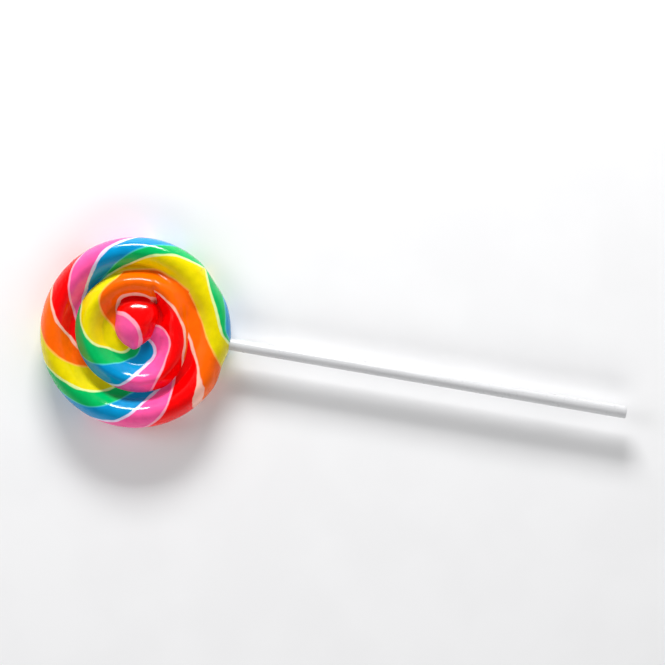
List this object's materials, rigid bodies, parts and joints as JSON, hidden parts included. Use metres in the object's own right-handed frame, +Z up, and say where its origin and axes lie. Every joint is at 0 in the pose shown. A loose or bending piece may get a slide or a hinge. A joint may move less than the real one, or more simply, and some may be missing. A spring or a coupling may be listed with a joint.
{
  "type": "swirl lollipop",
  "caption": "Round hard sweet made of one twisted, coiled rope of coloured stripes, on a straight white stick.",
  "frame": {"origin": "on the floor midway between the sweet's far edge and the stick's end; the disc's centre is 52.5 mm along -X", "axes": "+Z up out of the swirl's shown face, +X along the stick, away from the sweet"},
  "size_m": [0.155, 0.05, 0.0096],
  "materials": {
    "candy": "glossy boiled sugar, twisted stripes of orange, yellow, green, blue, pink and red with thin pale lines",
    "stick": "satin white"
  },
  "bodies": {
    "root": {"candy": "candy", "stick": "stick"}
  },
  "joints": []
}
